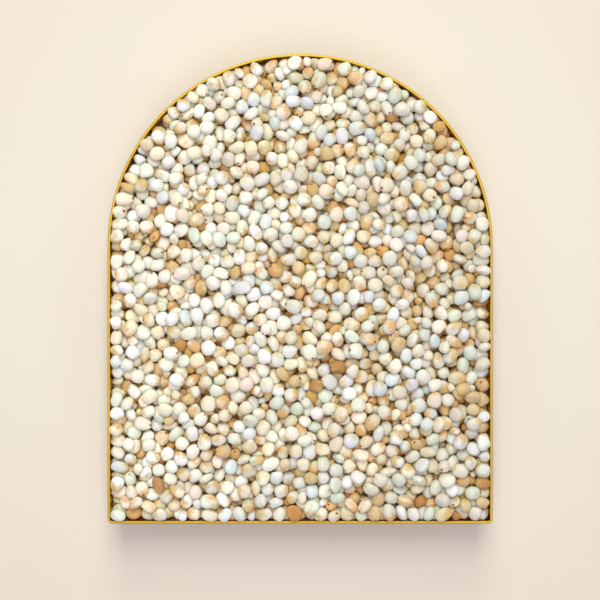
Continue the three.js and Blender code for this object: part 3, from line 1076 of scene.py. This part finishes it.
class DISH_OT_core(bpy.types.Operator):
    """Adds the core that fills the dish under the loose grains"""

    bl_idname = "millet_dish.core"
    bl_label = "Core of the heap"
    bl_options = {"REGISTER", "UNDO"}

    def execute(self, context):
        dish, millet = context.scene.dish_settings, context.scene.millet_settings
        arch = the_arch()
        heap = Heap(arch, dish, millet)
        gap = dish.sheet + millet.clearance
        foot_inset = dish.wall_lean + dish.base_bend
        corner = dish.corner - dish.sheet
        bend = bend_rings(foot_inset, gap, dish.base_bend - gap, corner, BEND_STEPS)
        shoulder = heap.wall_inset(heap.edge_level - millet.loose_depth)
        insets = np.linspace(shoulder, arch.radius - CORE_MIDDLE, CORE_RINGS)
        corners = corner * np.linspace(1, 0, CORE_RINGS)
        top = [Ring(inset, None, c) for inset, c in zip(insets, corners)]
        data = swept_mesh("millet_core", [*bend, *top], arch, CORE_STEP, heap.core_top)
        placed("millet_core", data, core_material(millet), "millet", "millet")
        return {"FINISHED"}


CORE_RINGS = 24
CORE_STEP = 2.5 * MM  # along a ring, from point to point
CORE_MIDDLE = 1 * MM  # from the last ring to the middle of the arch


class DISH_OT_grains(bpy.types.Operator):
    """Adds the loose grains, one piece for each kind"""

    bl_idname = "millet_dish.grains"
    bl_label = "Millet grains"
    bl_options = {"REGISTER", "UNDO"}

    def execute(self, context):
        millet = context.scene.millet_settings
        heap = Heap(the_arch(), context.scene.dish_settings, millet)
        rng = np.random.default_rng(millet.seed)
        places, turns, halves = settled_grains(heap, rng)
        depth = heap.level(*places[:, :2].T) - places[:, 2]
        kinds = kinds_of(places, heap.arch, rng)
        draws = skin_draws(places, depth, heap, rng)
        shows = depth < SHOWN_DEPTH
        group = grain_skin_group()
        for index, kind in enumerate(KINDS):
            parts = []
            for frequency, chosen in ((FINE_FREQUENCY, shows), (COARSE_FREQUENCY, ~shows)):
                mine = (kinds == index) & chosen
                of_mine = [values[mine] for values in (places, turns, halves, draws)]
                parts.append(grain_batch(frequency, *of_mine, rng))
            name = f"millet_{kind.name}"
            data = joined_grains(name, parts, heap)
            placed(name, data, grain_material(kind, millet, group), "millet", "millet")
        return {"FINISHED"}


class DISH_OT_studio(bpy.types.Operator):
    """Adds the floor, the lights and the camera"""

    bl_idname = "millet_dish.studio"
    bl_label = "Studio"
    bl_options = {"REGISTER", "UNDO"}

    def execute(self, context):
        settings = context.scene.studio_settings
        self.add_floor(context, settings)
        self.add_light(context, settings)
        self.add_camera(context, settings)
        return {"FINISHED"}

    def add_floor(self, context, settings):
        data = bpy.data.meshes.new("floor")
        half = settings.floor_side / 2
        corners = [(x * half, y * half, 0) for x, y in ((-1, -1), (1, -1), (1, 1), (-1, 1))]
        data.from_pydata(corners, [], [(0, 1, 2, 3)])
        data.materials.append(floor_material(settings))
        floor = bpy.data.objects.new("floor", data)
        context.scene.collection.objects.link(floor)

    def add_light(self, context, settings):
        world = bpy.data.worlds.new("studio")
        world.use_nodes = True
        sky = world.node_tree.nodes["Background"]
        sky.inputs["Color"].default_value = rgba(FILL_COLOUR)
        sky.inputs["Strength"].default_value = settings.sky
        context.scene.world = world
        key_place = Vector(KEY_WAY).normalized() * settings.key_distance
        key_size = settings.panel_width, settings.key_length
        self.add_panel(context, "key", key_size, settings.key_power, KEY_COLOUR, key_place)
        top_place = Vector((0, 0, settings.top_height))
        top_size = settings.panel_width, settings.top_length
        self.add_panel(context, "top", top_size, settings.top_power, FILL_COLOUR, top_place)

    def add_panel(self, context, name, size, power, colour, place):
        """A soft light that faces the dish, long from the dish's straight end to its arch."""
        lamp = bpy.data.lights.new(name, "AREA")
        lamp.energy = power
        lamp.shape = "RECTANGLE"
        lamp.size, lamp.size_y = size
        lamp.color = colour
        panel = bpy.data.objects.new(name, lamp)
        panel.location = place
        panel.rotation_euler = place.to_track_quat("Z", "Y").to_euler()
        context.scene.collection.objects.link(panel)

    def add_camera(self, context, settings):
        lens = bpy.data.cameras.new("camera")
        lens.sensor_width = SENSOR_WIDTH
        lens.lens = SENSOR_WIDTH * settings.camera_height / settings.view_side
        lens.clip_start = CLIP_START
        camera = bpy.data.objects.new("camera", lens)
        height = DISH_HIGH.z + settings.camera_height
        camera.location = (settings.camera_x, settings.camera_y, height)
        context.scene.collection.objects.link(camera)
        context.scene.camera = camera
        context.scene.view_settings.view_transform = "Standard"


KEY_WAY = (0.0, 0.62, 0.75)  # from the dish to the soft box
KEY_COLOUR = (0.99, 1.04, 0.87)
FILL_COLOUR = (1.0, 0.955, 1.14)  # of the panel overhead and the light all round
SENSOR_WIDTH = 36.0  # of the camera, in its own millimetres
CLIP_START = 10 * MM  # the nearest that the camera sees


class DISH_PT_panel(bpy.types.Panel):
    """Lists what can be built"""

    bl_label = "Dish of millet"
    bl_space_type = "VIEW_3D"
    bl_region_type = "UI"
    bl_category = "Millet"

    def draw(self, context):
        for operator in OPERATORS:
            self.layout.operator(operator.bl_idname)


OPERATORS = (DISH_OT_shell, DISH_OT_core, DISH_OT_grains, DISH_OT_studio)
SETTINGS = (
    ("dish_settings", DishSettings),
    ("millet_settings", MilletSettings),
    ("studio_settings", StudioSettings),
)


def register():
    for name, group in SETTINGS:
        bpy.utils.register_class(group)
        setattr(bpy.types.Scene, name, bpy.props.PointerProperty(type=group))
    for made in (*OPERATORS, DISH_PT_panel):
        bpy.utils.register_class(made)


def unregister():
    for made in (DISH_PT_panel, *OPERATORS):
        bpy.utils.unregister_class(made)
    for name, group in SETTINGS:
        delattr(bpy.types.Scene, name)
        bpy.utils.unregister_class(group)


def main():
    register()
    bpy.ops.millet_dish.studio()
    bpy.ops.millet_dish.shell()
    bpy.ops.millet_dish.core()
    bpy.ops.millet_dish.grains()


if __name__ == "__main__":
    main()
